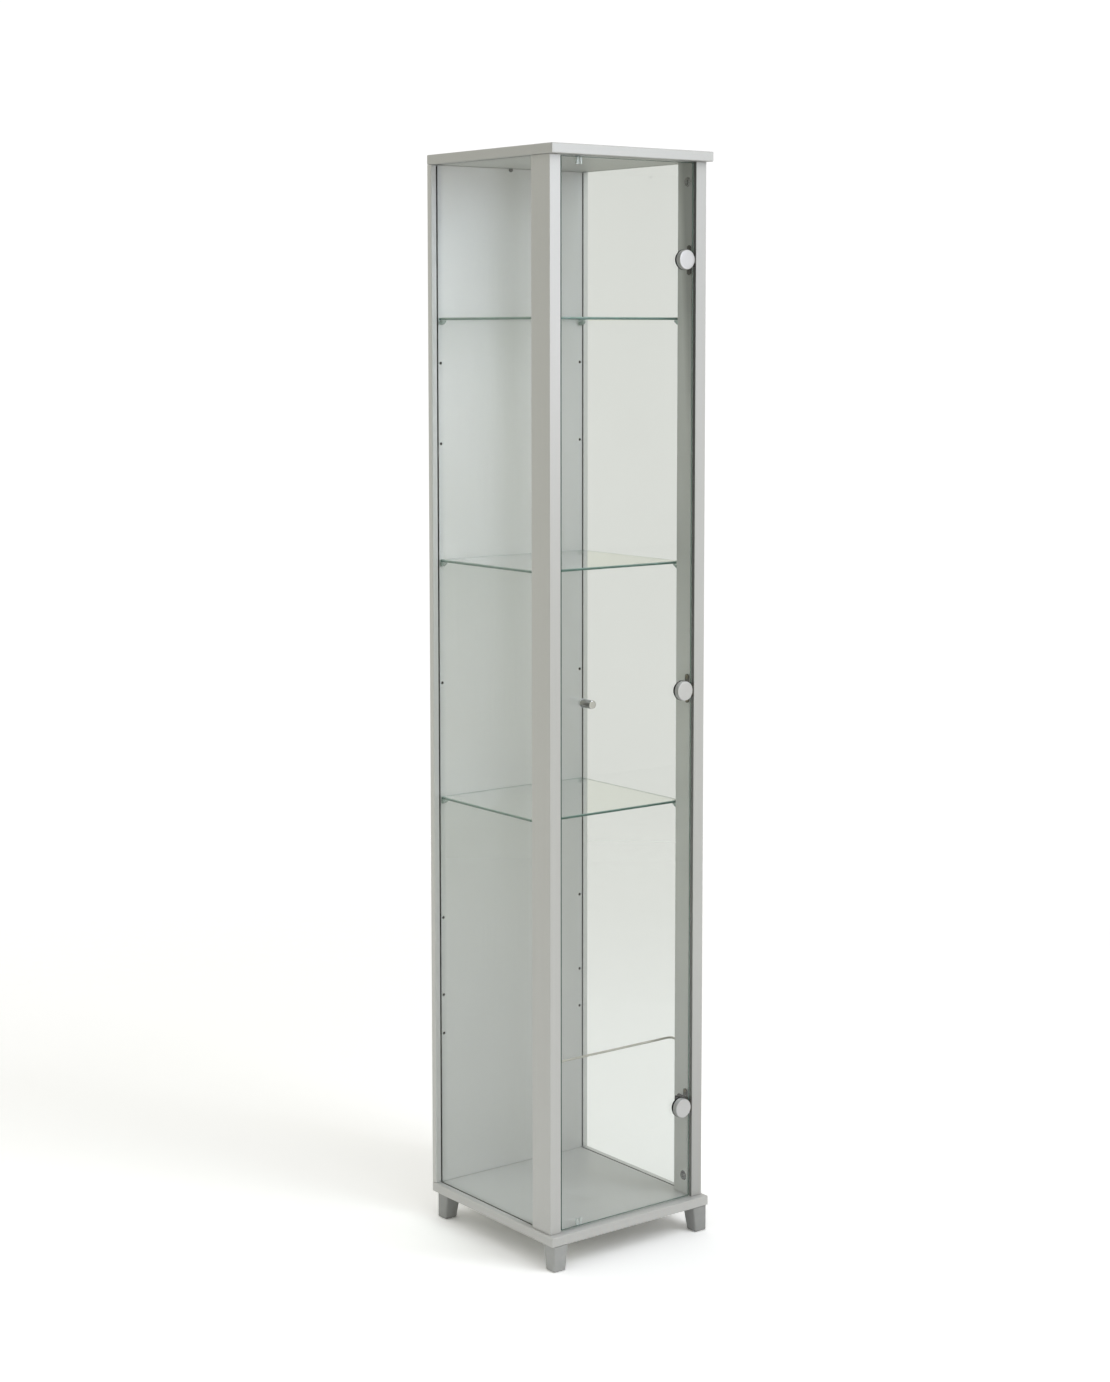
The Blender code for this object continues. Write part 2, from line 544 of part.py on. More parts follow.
    # two screws hold the plate to the post
    for word, up in (("upper", 1), ("lower", -1)):
        bm = bmesh.new()
        head = leaf_x0 - GAP - PIVOT_X
        add_lathe(bm, [(0.0, head - 0.0018), (0.0022, head - 0.0018), (0.0033, head - 0.0009),
                       (0.0035, head), (0.0017, head), (0.0017, head + 0.0110), (0.0006, head + 0.0130),
                       (0.0, head + 0.0130)], "X", 12)
        new_object("hinge_%s_screw_%s" % (level, word), bm, STEEL,
                   (PIVOT_X, y_at(PLATE_SCREW_Y), z + up * PLATE_SCREW_Z), smooth_angle=35)

# ------------------------------------------------------------------ knob
knob_at = (KNOB_X, door_front, KNOB_Z)
knob_back = -GAP - 0.0010 - GAP
bm = bmesh.new()
add_lathe(bm, [(0.0, knob_back - KNOB_L), (KNOB_R - 0.0005, knob_back - KNOB_L),
               (KNOB_R, knob_back - KNOB_L + 0.0005), (KNOB_R, knob_back - 0.0003),
               (KNOB_R - 0.0003, knob_back), (0.0023, knob_back), (0.0023, knob_back - 0.0110),
               (0.0, knob_back - 0.0110)], "Y", 24)
new_object("knob", bm, CHROME, knob_at, door_axis, smooth_angle=35)
bm = bmesh.new()
add_lathe(bm, [(0.0024, -GAP), (KNOB_R + 0.0003, -GAP), (KNOB_R + 0.0003, -GAP - 0.0010),
               (0.0024, -GAP - 0.0010)], "Y", 18, closed_ring=True)
new_object("knob_washer", bm, CLEAR, knob_at, door_axis, smooth_angle=35)
bm = bmesh.new()
rear = DOOR_T + GAP
add_lathe(bm, [(0.0, rear + 0.0022), (0.0028, rear + 0.0022), (0.0042, rear + 0.0012), (0.0045, rear),
               (0.0019, rear), (0.0019, knob_back - 0.0100), (0.0, knob_back - 0.0100)], "Y", 14)
new_object("knob_screw", bm, STEEL, knob_at, door_axis, smooth_angle=35)

# ------------------------------------------------------------------ door stops behind the free edge
for level, z, up in (("bottom", Z_BASE1 + GAP, 1), ("top", Z_TOP0 - GAP, -1)):
    bm = bmesh.new()
    add_prism(bm, [(-0.0042, 0.0), (0.0042, 0.0), (0.0052, STOP_H), (0.0024, STOP_H), (0.0014, 0.0018),
                   (-0.0014, 0.0018), (-0.0024, STOP_H), (-0.0052, STOP_H)], "Y", 0.0, 0.0045)
    bmesh.ops.scale(bm, vec=(1, 1, up), verts=bm.verts[:])
    new_object("door_stop_%s" % level, bm, CLEAR, (STOP_X, y_at(DOOR_RECESS + DOOR_T + GAP), z))
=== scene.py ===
"""Looks of the glass display showcase: camera, studio, detailed fittings and procedural materials."""
import math
import bmesh
import bpy
from mathutils import Matrix, Vector


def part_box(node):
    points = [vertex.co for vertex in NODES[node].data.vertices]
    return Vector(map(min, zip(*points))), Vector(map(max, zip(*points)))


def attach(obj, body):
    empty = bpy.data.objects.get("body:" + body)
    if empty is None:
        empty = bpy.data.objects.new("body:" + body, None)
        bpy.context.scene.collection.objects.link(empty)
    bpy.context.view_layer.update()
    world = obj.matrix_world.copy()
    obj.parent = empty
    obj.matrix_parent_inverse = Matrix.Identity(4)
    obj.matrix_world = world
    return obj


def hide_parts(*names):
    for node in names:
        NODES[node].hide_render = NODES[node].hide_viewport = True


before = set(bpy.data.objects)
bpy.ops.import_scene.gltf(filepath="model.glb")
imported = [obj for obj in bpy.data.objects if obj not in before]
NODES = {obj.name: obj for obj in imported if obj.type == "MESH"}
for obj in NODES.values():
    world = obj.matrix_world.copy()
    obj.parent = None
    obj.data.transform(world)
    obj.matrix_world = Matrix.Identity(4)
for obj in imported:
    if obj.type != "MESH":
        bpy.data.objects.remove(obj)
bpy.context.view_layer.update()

SCENE = bpy.context.scene


# ---------------------------------------------------------------- camera
def aim(yaw, pitch, roll):
    a, e, r = math.radians(yaw), math.radians(pitch), math.radians(roll)
    forward = Vector((-math.sin(a) * math.cos(e), math.cos(a) * math.cos(e), math.sin(e)))
    right = Vector((math.cos(a), math.sin(a), 0.0))
    up = right.cross(forward)
    right, up = math.cos(r) * right + math.sin(r) * up, -math.sin(r) * right + math.cos(r) * up
    return Matrix((right, up, -forward)).transposed().to_4x4()


camera_data = bpy.data.cameras.new("camera")
camera = bpy.data.objects.new("camera", camera_data)
SCENE.collection.objects.link(camera)
SCENE.camera = camera
camera.matrix_world = Matrix.Translation((-2.37643, -3.06425, 1.43135)) @ aim(-37.357, -5.507, -0.04)
camera_data.sensor_width = 36.0
camera_data.lens = 64.04
camera_data.shift_x = 0.0019
camera_data.shift_y = -0.0840
camera_data.clip_start, camera_data.clip_end = 0.05, 60.0
SCENE.view_settings.view_transform = "Standard"
SCENE.view_settings.look = "None"


# ---------------------------------------------------------------- node helpers
class Tree:
    """Small helper for building a material's node tree."""

    def __init__(self, name):
        self.mat = bpy.data.materials.new(name)
        self.mat.use_nodes = True
        self.nt = self.mat.node_tree
        self.nt.nodes.clear()
        self.out = self.nt.nodes.new("ShaderNodeOutputMaterial")

    def node(self, kind, **values):
        n = self.nt.nodes.new(kind)
        for key, value in values.items():
            setattr(n, key, value)
        return n

    def link(self, a, b):
        self.nt.links.new(a, b)

    def principled(self, **sockets):
        n = self.node("ShaderNodeBsdfPrincipled")
        for key, value in sockets.items():
            n.inputs[key.replace("_", " ")].default_value = value
        return n

    def coords(self, scale=(1, 1, 1), kind="Object"):
        tc = self.node("ShaderNodeTexCoord")
        mp = self.node("ShaderNodeMapping")
        mp.inputs["Scale"].default_value = scale
        self.link(tc.outputs[kind], mp.inputs["Vector"])
        return mp.outputs["Vector"]

    def noise(self, vector, scale, detail=3.0, rough=0.5):
        n = self.node("ShaderNodeTexNoise")
        n.inputs["Scale"].default_value = scale
        n.inputs["Detail"].default_value = detail
        n.inputs["Roughness"].default_value = rough
        self.link(vector, n.inputs["Vector"])
        return n.outputs["Fac"]

    def ramp(self, fac, stops):
        n = self.node("ShaderNodeValToRGB")
        while len(n.color_ramp.elements) < len(stops):
            n.color_ramp.elements.new(0.5)
        for element, (at, colour) in zip(n.color_ramp.elements, stops):
            element.position = at
            element.color = (*colour, 1.0) if len(colour) == 3 else colour
        self.link(fac, n.inputs["Fac"])
        return n.outputs["Color"]

    def span(self, value, low, high, to_low, to_high):
        n = self.node("ShaderNodeMapRange")
        for key, v in (("From Min", low), ("From Max", high), ("To Min", to_low), ("To Max", to_high)):
            n.inputs[key].default_value = v
        self.link(value, n.inputs["Value"])
        return n.outputs["Result"]

    def mix(self, fac, a, b):
        n = self.node("ShaderNodeMix", data_type="RGBA")
        for value, socket in ((fac, n.inputs[0]), (a, n.inputs[6]), (b, n.inputs[7])):
            if isinstance(value, bpy.types.NodeSocket):
                self.link(value, socket)
            else:
                socket.default_value = (*value, 1.0) if isinstance(value, tuple) else value
        return n.outputs[2]

    def maths(self, operation, a, b=None):
        n = self.node("ShaderNodeMath", operation=operation)
        for value, socket in ((a, n.inputs[0]), (b, n.inputs[1])):
            if value is None:
                continue
            if isinstance(value, bpy.types.NodeSocket):
                self.link(value, socket)
            else:
                socket.default_value = value
        return n.outputs[0]

    def bump(self, height, strength, distance):
        n = self.node("ShaderNodeBump")
        n.inputs["Strength"].default_value = strength
        n.inputs["Distance"].default_value = distance
        self.link(height, n.inputs["Height"])
        return n.outputs["Normal"]

    def done(self, shader):
        self.link(shader, self.out.inputs["Surface"])
        return self.mat


GROOVE_SIDE = 0.0006    # dark line each side of a pane


def foil(name, grain_scale, node, tone=(0.585, 0.585, 0.572)):
    """Silver-grey foil on chipboard: satin, very faint long streaks and a fine pearl grain.
    Drilled holes and grooves, inside the board's own box, show the raw brown core."""
    t = Tree(name)
    streak = t.noise(t.coords(grain_scale), 1.0, 4.0, 0.6)
    pearl = t.noise(t.coords((1, 1, 1)), 900.0, 2.0, 0.6)
    drift = t.noise(t.coords((1, 1, 1)), 2.2, 2.0)
    light = tuple(min(1.0, c * 1.014) for c in tone)
    dark = tuple(c * 0.986 for c in tone)
    base = t.mix(t.span(streak, 0.30, 0.70, 0.0, 1.0), dark, light)
    base = t.mix(t.span(pearl, 0.35, 0.65, 0.0, 0.16), base, tuple(min(1.0, c * 1.22) for c in tone))
    base = t.mix(t.span(drift, 0.2, 0.8, 0.0, 0.10), base, tuple(c * 0.93 for c in tone))
    low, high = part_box(node)
    split = t.node("ShaderNodeSeparateXYZ")
    t.link(t.coords((1, 1, 1)), split.inputs["Vector"])
    inside = None
    for axis, a, b in zip("XYZ", low, high):
        skin = 0.0004 if b - a < 0.1 else 0.0012    # the long sides carry the rounded edges
        for operation, limit in (("GREATER_THAN", a + skin), ("LESS_THAN", b - skin)):
            test = t.maths(operation, split.outputs[axis], limit)
            inside = test if inside is None else t.maths("MULTIPLY", inside, test)
    chips = t.noise(t.coords((1, 1, 1)), 700.0, 4.0, 0.7)
    core = t.mix(t.span(chips, 0.35, 0.65, 0.0, 1.0), (0.035, 0.027, 0.018), (0.11, 0.085, 0.055))
    base = t.mix(inside, base, core)
    # shadow line on the boards where a pane stands in its groove
    glass_lo, glass_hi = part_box("right_pane")
    reach = t.maths("ABSOLUTE", split.outputs["X"])
    joint = t.maths("MULTIPLY", t.maths("GREATER_THAN", reach, glass_lo[0] - GROOVE_SIDE),
                    t.maths("LESS_THAN", reach, glass_hi[0] + GROOVE_SIDE))
    for axis, a, b in (("Y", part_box("right_post")[1][1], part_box("back_panel")[0][1]),
                       ("Z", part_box("base_board")[1][2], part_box("top_board")[0][2])):
        joint = t.maths("MULTIPLY", joint, t.maths("GREATER_THAN", split.outputs[axis], a - 0.0004))
        joint = t.maths("MULTIPLY", joint, t.maths("LESS_THAN", split.outputs[axis], b + 0.0004))
    base = t.mix(joint, base, tuple(c * 0.21 for c in tone))
    if node == "right_post":
        # painted shade: the right post's front face is darker towards the bottom and towards the top
        face = t.maths("LESS_THAN", split.outputs["Y"], low[1] + 0.0004)
        ends = t.maths("ADD", t.span(split.outputs["Z"], 0.45, 0.08, 0.0, 0.85),
                       t.span(split.outputs["Z"], 1.00, 1.45, 0.0, 0.50))
        base = t.mix(t.maths("MULTIPLY", face, ends), base, tuple(c * 0.80 for c in tone))
        # inner face: painted shade in a strip in the door's gap, and painted shadow under the top board
        inner = t.maths("LESS_THAN", split.outputs["X"], low[0] + 0.0004)
        gap_shade = t.maths("MULTIPLY", inner, t.maths("LESS_THAN", split.outputs["Y"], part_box("door_glass")[1][1]))
        slant = t.maths("SUBTRACT", t.maths("MULTIPLY", split.outputs["Z"], 1.2),
                        t.maths("DIVIDE", split.outputs["Y"], high[1] - low[1]))
        start = 1.2 * 1.639 - high[1] / (high[1] - low[1])
        shaded = t.maths("MULTIPLY", t.span(split.outputs["Z"], 1.14, 1.48, 0.0, 0.80),
                         t.span(slant, start + 0.05, start + 0.35, 0.0, 1.0))
        base = t.mix(t.maths("MULTIPLY", inner, shaded), base, tuple(c * 0.45 for c in tone))
        # painted light: the inner face is lighter at middle height
        painted_light_band = t.maths("MULTIPLY", t.span(split.outputs["Z"], 0.25, 0.75, 0.0, 1.0),
                         t.span(split.outputs["Z"], 1.05, 0.75, 0.0, 1.0))
        base = t.mix(t.maths("MULTIPLY", inner, painted_light_band), base, tuple(c * 1.24 for c in tone))
        # painted shade in the gap is weaker lower down
        gap_shade = t.maths("MULTIPLY", gap_shade, t.span(split.outputs["Z"], 0.50, 1.35, 0.55, 1.0))
        base = t.mix(gap_shade, base, tuple(c * 0.35 for c in tone))
    shader = t.principled(IOR=1.5)
    t.link(t.span(inside, 0.0, 1.0, 0.22, 0.0), shader.inputs["Metallic"])
    t.link(base, shader.inputs["Base Color"])
    t.link(t.span(streak, 0.2, 0.8, 0.36, 0.47), shader.inputs["Roughness"])
    t.link(t.bump(t.maths("ADD", t.maths("MULTIPLY", streak, 0.5), t.maths("MULTIPLY", pearl, 0.5)), 0.10, 0.00006),
           shader.inputs["Normal"])
    return t.done(shader.outputs["BSDF"])


def glass(name, thin_axis, edge, edge_clear, face=(0.955, 0.972, 0.958), node=None):
    """Clear float glass; the narrow polished faces are green, as a long way through the glass looks."""
    t = Tree(name)
    tc = t.node("ShaderNodeTexCoord")
    split = t.node("ShaderNodeSeparateXYZ")
    t.link(tc.outputs["Normal"], split.inputs["Vector"])
    along = t.maths("ABSOLUTE", split.outputs[thin_axis])
    mask = t.maths("LESS_THAN", along, 0.85)
    cloud = t.noise(t.coords((1, 1, 1)), 5.0, 2.0)
    sheet = t.mix(t.span(cloud, 0.3, 0.7, 0.0, 1.0), face, tuple(c * 0.992 for c in face))
    speck = t.noise(t.coords((1, 1, 1)), 160.0, 3.0)
    rim = t.mix(t.span(speck, 0.3, 0.7, 0.0, 1.0), edge, tuple(min(1.0, c * 1.5) for c in edge))
    if thin_axis == "Y":    # painted shade: the hinged edge, in the gap beside its post, is coloured near black
        rim = t.mix(t.maths("GREATER_THAN", split.outputs["X"], 0.7), rim, (0.012, 0.018, 0.015))
    if node is not None:    # painted light: a shelf's ground edge is painted pale along the top and stays deep green below
        low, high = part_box(node)
        place = t.node("ShaderNodeSeparateXYZ")
        t.link(t.coords((1, 1, 1)), place.inputs["Vector"])
        middle, half = (low[2] + high[2]) / 2.0, (high[2] - low[2]) / 2.0
        painted_top_light = t.span(place.outputs["Z"], middle - 0.1 * half, middle + 0.9 * half, 0.0, 1.0)
        rim = t.mix(painted_top_light, rim, (0.36, 0.50, 0.45))
    shader = t.principled(IOR=1.5)
    t.link(t.mix(mask, sheet, rim), shader.inputs["Base Color"])
    t.link(t.span(mask, 0.0, 1.0, 0.0, 0.22), shader.inputs["Roughness"])
    t.link(t.span(mask, 0.0, 1.0, 1.0, edge_clear), shader.inputs["Transmission Weight"])
    path = t.node("ShaderNodeLightPath")
    clear = t.node("ShaderNodeBsdfTransparent")
    clear.inputs["Color"].default_value = (0.93, 0.95, 0.935, 1.0)
    mixer = t.node("ShaderNodeMixShader")
    t.link(path.outputs["Is Shadow Ray"], mixer.inputs[0])
    t.link(shader.outputs["BSDF"], mixer.inputs[1])
    t.link(clear.outputs["BSDF"], mixer.inputs[2])
    return t.done(mixer.outputs["Shader"])


def metal(name, colour, rough, grain, metallic=1.0, contrast=0.06, bump=0.05, end=None):
    """Plated metal with a fine directional finish; end is a painted-light tone for the faces turned to the front or
    back.
    """
    t = Tree(name)
    brushed = t.noise(t.coords(grain), 1.0, 4.0, 0.6)
    blot = t.noise(t.coords((1, 1, 1)), 90.0, 2.0)
    base = t.mix(t.span(brushed, 0.3, 0.7, 0.0, 1.0), tuple(c * (1 - contrast) for c in colour),
                 tuple(min(1.0, c * (1 + contrast)) for c in colour))
    if end is not None:
        # painted light: faces turned along Y take the end tone
        split = t.node("ShaderNodeSeparateXYZ")
        t.link(t.node("ShaderNodeTexCoord").outputs["Normal"], split.inputs["Vector"])
        base = t.mix(t.span(t.maths("ABSOLUTE", split.outputs["Y"]), 0.70, 0.95, 0.0, 1.0), base, end)
    shader = t.principled(Metallic=metallic, IOR=1.5)
    t.link(base, shader.inputs["Base Color"])
    t.link(t.span(t.maths("ADD", brushed, blot), 0.6, 1.4, rough * 0.85, rough * 1.2), shader.inputs["Roughness"])
    t.link(t.bump(brushed, bump, 0.00004), shader.inputs["Normal"])
    return t.done(shader.outputs["BSDF"])


def plastic(name, colour, rough, mottle=0.05, transmission=0.0, coat=0.0, grain=1400.0, gloss=0.5):
    """Moulded plastic with a fine spark-eroded texture."""
    t = Tree(name)
    fine = t.noise(t.coords((1, 1, 1)), grain, 2.0)
    broad = t.noise(t.coords((1, 1, 1)), 60.0, 3.0)
    base = t.mix(t.span(broad, 0.3, 0.7, 0.0, 1.0), tuple(c * (1 - mottle) for c in colour),
                 tuple(min(1.0, c * (1 + mottle)) for c in colour))
    shader = t.principled(IOR=1.49)
    shader.inputs["Transmission Weight"].default_value = transmission
    shader.inputs["Coat Weight"].default_value = coat
    shader.inputs["Specular IOR Level"].default_value = gloss
    t.link(base, shader.inputs["Base Color"])
    t.link(t.span(fine, 0.3, 0.7, rough * 0.9, rough * 1.15), shader.inputs["Roughness"])
    t.link(t.bump(fine, 0.08, 0.00004), shader.inputs["Normal"])
    return t.done(shader.outputs["BSDF"])


FOILS = {name: foil("foil_" + name, grain, name, tone) for name, grain, tone in (
    ("base_board", (6.0, 240.0, 240.0), (0.585, 0.585, 0.572)),
    ("top_board", (6.0, 240.0, 240.0), (0.552, 0.552, 0.540)),
    ("back_panel", (240.0, 240.0, 6.0), (0.635, 0.635, 0.620)),
    ("left_post", (240.0, 240.0, 6.0), (0.585, 0.585, 0.572)),
    ("right_post", (240.0, 240.0, 6.0), (0.585, 0.585, 0.572)))}
GLASS_X = glass("glass_side_panes", "X", (0.030, 0.060, 0.050), 0.12)
GLASS_Y = glass("glass_door", "Y", (0.060, 0.120, 0.100), 0.20, face=(0.968, 0.982, 0.970))
SHELVES = {name: glass("glass_" + name, "Z", (0.030, 0.100, 0.080), 0.30, node=name)
           for name in ("shelf_top", "shelf_middle", "shelf_bottom")}
NICKEL = metal("satin_nickel", (0.66, 0.63, 0.57), 0.26, (700, 700, 40))
ROD = metal("plated_rod", (0.50, 0.485, 0.42), 0.34, (200, 200, 200), contrast=0.03, bump=0.01)
HINGE_NICKEL = metal("hinge_nickel", (0.11, 0.105, 0.095), 0.38, (500, 500, 60), metallic=0.85)
# painted light: each hinge level's cap front gets its own lighter tone for the light it catches
CAPS = {level: metal("silver_cap_painted_light_" + level, (0.50, 0.50, 0.495), 0.36, (60, 900, 60), metallic=0.42,
                     contrast=0.05, end=(tone, tone, tone))
        for level, tone in (("top", 0.60), ("middle", 0.70), ("bottom", 0.63))}
# painted highlight: the knob's front end face is much lighter than its body
CHROME = metal("knob_metal", (0.32, 0.32, 0.31), 0.22, (60, 900, 60), contrast=0.04, end=(0.86, 0.86, 0.85))
ZINC = metal("zinc_steel", (0.55, 0.54, 0.52), 0.30, (500, 500, 500))
CAM_ZINC = metal("die_cast_zinc", (0.27, 0.27, 0.265), 0.26, (400, 400, 400), contrast=0.12, bump=0.12)
# painted shade: darker copies of the hinge nickel and the screw finish, for the top hinge's plate and screws
HINGE_SHADED = metal("hinge_nickel_painted_shade", (0.050, 0.048, 0.044), 0.36, (500, 500, 60), metallic=0.85)
SCREW_SHADED = metal("screw_painted_shade", (0.045, 0.043, 0.038), 0.30, (500, 500, 500))
SCREW = metal("passivated_screw", (0.20, 0.175, 0.12), 0.34, (500, 500, 500))
BLACK = plastic("black_plastic", (0.012, 0.012, 0.013), 0.48, gloss=0.22)
GREY = plastic("grey_plastic", (0.42, 0.425, 0.42), 0.42, coat=0.05)
# painted shade: a darker copy of the grey plastic for the feet that stand in more shadow
GREY_SHADED = plastic("grey_plastic_painted_shade", (0.34, 0.345, 0.34), 0.46, coat=0.05)
CLEAR = plastic("clear_plastic", (0.92, 0.95, 0.94), 0.24, transmission=0.38)
PIN_PLASTIC = plastic("pin_plastic", (0.50, 0.61, 0.57), 0.16, transmission=0.6)


def paint(obj, mat):
    obj.data.materials.clear()
    obj.data.materials.append(mat)
    return obj


for name, mat in (*FOILS.items(), ("left_pane", GLASS_X), ("right_pane", GLASS_X), ("door_glass", GLASS_Y),
                  *SHELVES.items()):
    paint(NODES[name], mat)
for name, node in NODES.items():
    if "plate" in name:
        # the top hinge's plate takes the painted-shade copy
        paint(node, HINGE_SHADED if "top" in name else HINGE_NICKEL)
    elif "clamp" in name:
        paint(node, NICKEL)
    elif name == "tie_rod":
        paint(node, ROD)
    elif "cap" in name:
        paint(node, CAPS[name.split("_")[1]])
    elif "grommet" in name or "connector" in name:
        paint(node, BLACK)
    elif name.startswith("foot_"):
        # the front right and rear left feet take the painted-shade copy
        paint(node, GREY_SHADED if name in ("foot_front_right", "foot_rear_left") else GREY)
    elif name.startswith("shelf_pin"):
        paint(node, PIN_PLASTIC)
    elif name.startswith(("door_stop", "knob_washer")):
        paint(node, CLEAR)
    elif name == "knob":
        paint(node, CHROME)
    elif name.startswith("cam_lock"):
        paint(node, CAM_ZINC)
    elif "screw" in name or name.endswith("_pin"):
        paint(node, ZINC)


# ---------------------------------------------------------------- smooth turned and moulded CAD parts
def smooth_by_angle(limit):
    """Modifier nodes that round the shading of turned and moulded parts and keep their real edges crisp."""
    group = bpy.data.node_groups.new("smooth_by_angle", "GeometryNodeTree")
    group.is_modifier = True
    group.interface.new_socket("Geometry", in_out="INPUT", socket_type="NodeSocketGeometry")
    group.interface.new_socket("Geometry", in_out="OUTPUT", socket_type="NodeSocketGeometry")
    start = group.nodes.new("NodeGroupInput")
    merge = group.nodes.new("GeometryNodeMergeByDistance")
    merge.inputs["Distance"].default_value = 1e-6
    faces = group.nodes.new("GeometryNodeSetShadeSmooth")
    faces.domain = "FACE"
    faces.inputs["Shade Smooth"].default_value = True
    angle = group.nodes.new("GeometryNodeInputMeshEdgeAngle")
    sharp = group.nodes.new("FunctionNodeCompare")
    sharp.data_type, sharp.operation = "FLOAT", "GREATER_THAN"
    sharp.inputs["B"].default_value = math.radians(limit)
    edges = group.nodes.new("GeometryNodeSetShadeSmooth")
    edges.domain = "EDGE"
    edges.inputs["Shade Smooth"].default_value = False
    end = group.nodes.new("NodeGroupOutput")
    link = group.links.new
    link(start.outputs[0], merge.inputs["Geometry"])
    link(merge.outputs["Geometry"], faces.inputs["Geometry"])
    link(faces.outputs["Geometry"], edges.inputs["Geometry"])
    link(angle.outputs["Unsigned Angle"], sharp.inputs["A"])
    link(sharp.outputs["Result"], edges.inputs["Selection"])
    link(edges.outputs["Geometry"], end.inputs[0])
    return group


SMOOTH = smooth_by_angle(34.0)
for name, node in NODES.items():
    if not name.endswith(("board", "panel", "post", "pane", "glass")) and not name.startswith("shelf_top"):
        node.modifiers.new("smooth_by_angle", "NODES").node_group = SMOOTH


# ---------------------------------------------------------------- detailed fittings
def arc(radius, along, size, start, stop, steps=6):
    """Small rounding in a turned profile: points (radius, along) of a quarter circle."""
    return [(radius + size * math.cos(math.radians(start + (stop - start) * k / steps)),
             along + size * math.sin(math.radians(start + (stop - start) * k / steps))) for k in range(steps + 1)]


def turned(bm, profile, axis, segments, centre):
    """Closed body of revolution from (radius, along) points that begin and end on the axis."""
    def at(radius, angle, along):
        a, b = radius * math.cos(angle), radius * math.sin(angle)
        return Vector({"X": (along, a, b), "Y": (a, along, b), "Z": (a, b, along)}[axis]) + Vector(centre)
    rings = []
    for radius, along in profile:
        count = 1 if radius < 1e-7 else segments
        rings.append([bm.verts.new(at(radius, 2 * math.pi * k / segments, along)) for k in range(count)])
    for low, high in zip(rings[:-1], rings[1:]):
        for k in range(segments):
            n = (k + 1) % segments
            if len(low) == 1 and len(high) == 1:
                break
            if len(low) == 1:
                bm.faces.new((low[0], high[k], high[n]))
            elif len(high) == 1:
                bm.faces.new((low[k], low[n], high[0]))
            else:
                bm.faces.new((low[k], low[n], high[n], high[k]))


def block(bm, low, high):
    made = bmesh.ops.create_cube(bm, size=1.0)
    low, high = Vector(low), Vector(high)
    bmesh.ops.scale(bm, vec=high - low, verts=made["verts"])
    bmesh.ops.translate(bm, vec=(low + high) / 2.0, verts=made["verts"])


def solid(name, bm, mat=None):
    bmesh.ops.recalc_face_normals(bm, faces=bm.faces[:])
    mesh = bpy.data.meshes.new(name)
    bm.to_mesh(mesh)
    bm.free()
    piece = bpy.data.objects.new(name, mesh)
    SCENE.collection.objects.link(piece)
    if mat is not None:
        paint(piece, mat)
        dress(piece)
    return piece


def dress(piece):
    piece.data.shade_smooth()
    piece.data.set_sharp_from_angle(angle=math.radians(34.0))


def carve(piece, tool, operation="DIFFERENCE"):
    """Boolean, applied at once; the tool is removed."""
    mod = piece.modifiers.new("carve", "BOOLEAN")
    mod.operation, mod.solver, mod.object = operation, "EXACT", tool
    bpy.context.view_layer.update()
    mesh = bpy.data.meshes.new_from_object(piece.evaluated_get(bpy.context.evaluated_depsgraph_get()))
    piece.modifiers.clear()
    piece.data = mesh
    bpy.data.objects.remove(tool, do_unlink=True)
    dress(piece)


def fit(piece, body, node=None):
    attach(piece, body)
    if node is not None:
        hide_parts(node)
    return piece


